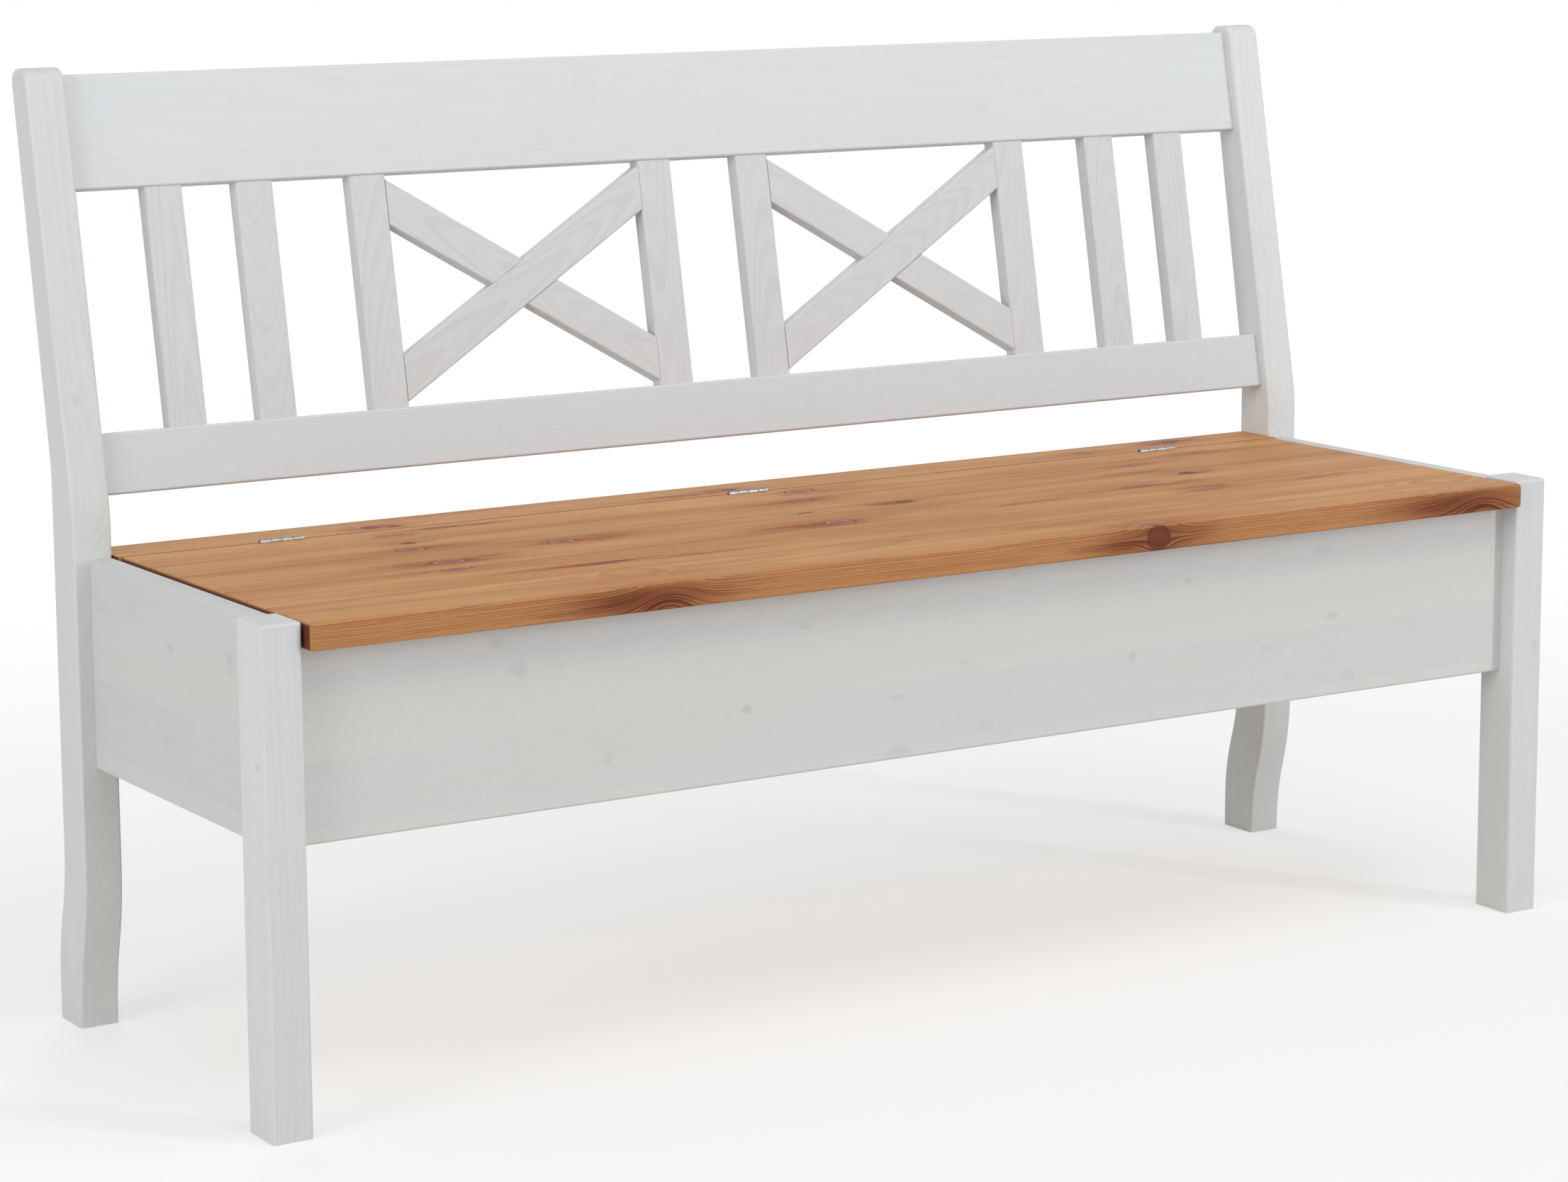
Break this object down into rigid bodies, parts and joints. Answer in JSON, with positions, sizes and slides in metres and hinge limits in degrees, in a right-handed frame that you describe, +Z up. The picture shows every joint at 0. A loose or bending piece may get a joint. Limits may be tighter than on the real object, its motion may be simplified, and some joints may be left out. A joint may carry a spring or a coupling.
{
  "type": "settle bench",
  "caption": "Wooden chest bench: panelled box under a hinged seat lid, square front posts, raked slatted backrest with crossed bars",
  "frame": {"origin": "on the floor under the middle of the bench's bounding box", "axes": "+X along the bench, +Y from the front to the backrest, +Z up"},
  "size_m": [1.502, 0.544, 0.935],
  "materials": {
    "white_pine": "white stain under satin lacquer",
    "honey_pine": "honey stain under satin lacquer",
    "plain_pine": "planed, unfinished",
    "plywood": "sanded, unfinished",
    "beech_dowel": "unfinished",
    "hinge_steel": "zinc plated",
    "screw_steel": "zinc plated"
  },
  "bodies": {
    "bench": {"back_panel": "white_pine", "chest_floor": "plywood", "cross_bar_left_back": "white_pine", "cross_bar_left_front": "white_pine", "cross_bar_right_back": "white_pine", "cross_bar_right_front": "white_pine", "cross_dowels": "beech_dowel", "floor_cleat_back": "plain_pine", "floor_cleat_front": "plain_pine", "floor_cleat_left": "plain_pine", "floor_cleat_right": "plain_pine", "floor_cleat_screws": "screw_steel", "front_panel": "white_pine", "front_post_left": "white_pine", "front_post_right": "white_pine", "hinge_leaf_fixed_1": "hinge_steel", "hinge_leaf_fixed_2": "hinge_steel", "hinge_leaf_fixed_3": "hinge_steel", "hinge_pin_1": "hinge_steel", "hinge_pin_2": "hinge_steel", "hinge_pin_3": "hinge_steel", "hinge_screws_fixed": "screw_steel", "lower_rail": "white_pine", "rear_post_left": "white_pine", "rear_post_right": "white_pine", "seat_strip": "honey_pine", "side_panel_left": "white_pine", "side_panel_right": "white_pine", "slat_1": "white_pine", "slat_2": "white_pine", "slat_3": "white_pine", "slat_4": "white_pine", "stile_1": "white_pine", "stile_2": "white_pine", "stile_3": "white_pine", "stile_4": "white_pine", "strip_cleat": "plain_pine", "strip_cleat_screws": "screw_steel", "top_rail": "white_pine"},
    "lid": {"hinge_leaf_lid_1": "hinge_steel", "hinge_leaf_lid_2": "hinge_steel", "hinge_leaf_lid_3": "hinge_steel", "hinge_screws_lid": "screw_steel", "lid_batten_1": "honey_pine", "lid_batten_2": "honey_pine", "lid_batten_3": "honey_pine", "lid_batten_screws": "screw_steel", "lid_board_1": "honey_pine", "lid_board_2": "honey_pine", "lid_board_3": "honey_pine", "lid_board_4": "honey_pine", "lid_board_5": "honey_pine"}
  },
  "joints": [
    {"name": "lid_hinge", "type": "hinge", "parent": "bench", "child": "lid", "pos_m": [0, 0.14099, 0.4715], "axis": [-1, 0, 0], "range_deg": [0, 103]}
  ]
}
